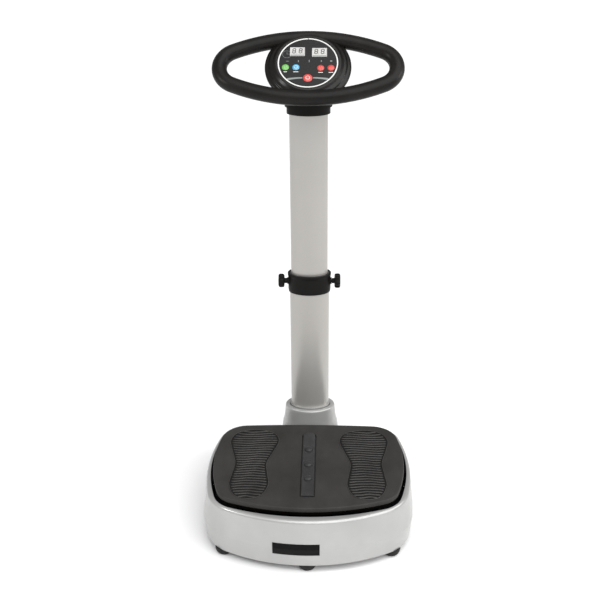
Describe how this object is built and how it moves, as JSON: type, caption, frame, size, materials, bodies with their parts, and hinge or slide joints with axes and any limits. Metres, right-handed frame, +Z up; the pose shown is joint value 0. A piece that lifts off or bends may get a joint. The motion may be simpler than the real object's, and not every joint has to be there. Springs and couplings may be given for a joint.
{
  "type": "vibration plate",
  "caption": "Upright exercise machine: a rocking ribbed foot deck on a rounded silver base, with a telescoping oval mast, an oval ring handle and a round control console.",
  "frame": {"origin": "on the floor under the middle of the base", "axes": "+Z up, the user stands on the -Y side and looks along +Y, +X to the user's right"},
  "size_m": [0.538, 0.5407, 1.2094],
  "materials": {
    "silver_plastic": "satin silver moulded plastic",
    "silver_paint": "silver powder coat",
    "black_gloss": "glossy black moulded plastic",
    "console_film": "black printed film",
    "white_print": "white printed ring",
    "display": "grey liquid-crystal window",
    "circuit_board": "green laminate",
    "red_key": "red key",
    "green_key": "green key",
    "blue_key": "blue key",
    "mat_rubber": "matte charcoal rubber",
    "strip_rubber": "smooth charcoal rubber",
    "grip_foam": "satin black sleeve",
    "black_plastic": "black moulded plastic",
    "guide_plastic": "dark guide plastic",
    "badge": "black blank plate",
    "foot_rubber": "black rubber",
    "belt_rubber": "black belt rubber",
    "black_steel": "black powder coat",
    "bright_steel": "zinc plated",
    "cast_metal": "machined casting",
    "bronze": "sintered bronze"
  },
  "bodies": {
    "base": {"base_cover": "silver_plastic", "bottom_pan": "black_steel", "badge_plate": "badge", "column_shroud": "silver_plastic", "shroud_trim_ring": "silver_plastic", "chassis_rails": "black_steel", "cross_members": "black_steel", "drive_beds": "black_steel", "rubber_feet": "foot_rubber", "foot_bolts": "bright_steel", "cover_screws": "bright_steel", "wheel_axles": "bright_steel", "wheel_brackets": "black_steel", "power_inlet": "black_plastic", "mast_foot_plate": "black_steel", "mast_bolts": "bright_steel", "lower_mast_tube": "silver_paint", "mouth_guide": "guide_plastic", "clamp_collar": "black_plastic", "clamp_shoes": "bright_steel", "bearing_blocks": "cast_metal", "drive_belt": "belt_rubber", "motor_body": "black_steel", "motor_saddle": "black_steel", "controller_box": "black_plastic", "bump_stops": "foot_rubber"},
    "deck": {"deck_mat": "mat_rubber", "foot_grips": "mat_rubber", "massage_strip": "strip_rubber", "massage_nodules": "strip_rubber", "deck_tray": "black_gloss", "deck_frame": "black_steel", "deck_bolts": "bright_steel", "deck_pins": "bright_steel"},
    "crankshaft": {"eccentric_shaft": "bright_steel", "large_pulley": "cast_metal"},
    "rod": {"connecting_rod": "cast_metal", "rod_bearing": "bronze"},
    "motor_rotor": {"motor_shaft": "bright_steel", "small_pulley": "cast_metal"},
    "mast": {"upper_mast_tube": "silver_paint", "sliding_guide": "guide_plastic", "handle_socket": "black_plastic", "socket_bolts": "bright_steel", "handle_ring": "grip_foam", "console_housing": "black_gloss", "console_face": "console_film", "face_ring": "white_print", "display_windows": "display", "circuit_board": "circuit_board"},
    "power_key": {"power_button": "red_key"},
    "program_key": {"program_button": "green_key"},
    "time_key": {"time_button": "blue_key"},
    "slower_key": {"slower_button": "red_key"},
    "faster_key": {"faster_button": "red_key"},
    "left_knob": {"left_clamp_knob": "black_plastic"},
    "right_knob": {"right_clamp_knob": "black_plastic"},
    "left_transport_wheel": {"left_wheel": "black_plastic"},
    "right_transport_wheel": {"right_wheel": "black_plastic"},
    "rocker": {"rocker_switch": "black_plastic"}
  },
  "joints": [
    {"name": "deck_rock", "type": "hinge", "parent": "base", "child": "deck", "pos_m": [0, 0, 0.1], "axis": [0, 1, 0], "range_deg": [-1.15, 1.15]},
    {"name": "crankshaft_turn", "type": "hinge", "parent": "base", "child": "crankshaft", "pos_m": [0.125, 0, 0.094], "axis": [0, 1, 0], "continuous": true},
    {"name": "rod_turn", "type": "hinge", "parent": "crankshaft", "child": "rod", "pos_m": [0.1275, -0.032, 0.094], "axis": [0, 1, 0], "continuous": true},
    {"name": "motor_turn", "type": "hinge", "parent": "base", "child": "motor_rotor", "pos_m": [-0.11, 0, 0.102], "axis": [0, 1, 0], "continuous": true},
    {"name": "mast_slide", "type": "slide", "parent": "base", "child": "mast", "axis": [0, 0, 1], "range_m": [-0.25, 0.05]},
    {"name": "power_press", "type": "slide", "parent": "mast", "child": "power_key", "axis": [0, 0.6428, -0.766], "range_m": [0, 0.001], "stiffness_N_per_m": 400},
    {"name": "program_press", "type": "slide", "parent": "mast", "child": "program_key", "axis": [0, 0.6428, -0.766], "range_m": [0, 0.001], "stiffness_N_per_m": 400},
    {"name": "time_press", "type": "slide", "parent": "mast", "child": "time_key", "axis": [0, 0.6428, -0.766], "range_m": [0, 0.001], "stiffness_N_per_m": 400},
    {"name": "slower_press", "type": "slide", "parent": "mast", "child": "slower_key", "axis": [0, 0.6428, -0.766], "range_m": [0, 0.001], "stiffness_N_per_m": 400},
    {"name": "faster_press", "type": "slide", "parent": "mast", "child": "faster_key", "axis": [0, 0.6428, -0.766], "range_m": [0, 0.001], "stiffness_N_per_m": 400},
    {"name": "left_knob_turn", "type": "hinge", "parent": "base", "child": "left_knob", "pos_m": [-0.066, 0.2, 0.574], "axis": [-1, 0, 0], "range_deg": [0, 360]},
    {"name": "right_knob_turn", "type": "hinge", "parent": "base", "child": "right_knob", "pos_m": [0.066, 0.2, 0.574], "axis": [1, 0, 0], "range_deg": [0, 360]},
    {"name": "left_wheel_roll", "type": "hinge", "parent": "base", "child": "left_transport_wheel", "pos_m": [-0.17, 0.246, 0.027], "axis": [1, 0, 0], "continuous": true},
    {"name": "right_wheel_roll", "type": "hinge", "parent": "base", "child": "right_transport_wheel", "pos_m": [0.17, 0.246, 0.027], "axis": [1, 0, 0], "continuous": true},
    {"name": "rocker_tip", "type": "hinge", "parent": "base", "child": "rocker", "pos_m": [0.006, 0.2655, 0.046], "axis": [1, 0, 0], "range_deg": [0, 14]}
  ],
  "couplings": [
    {"joint": "rod_turn", "follows": "crankshaft_turn", "ratio": -1},
    {"joint": "motor_turn", "follows": "crankshaft_turn", "ratio": 2.6667}
  ]
}
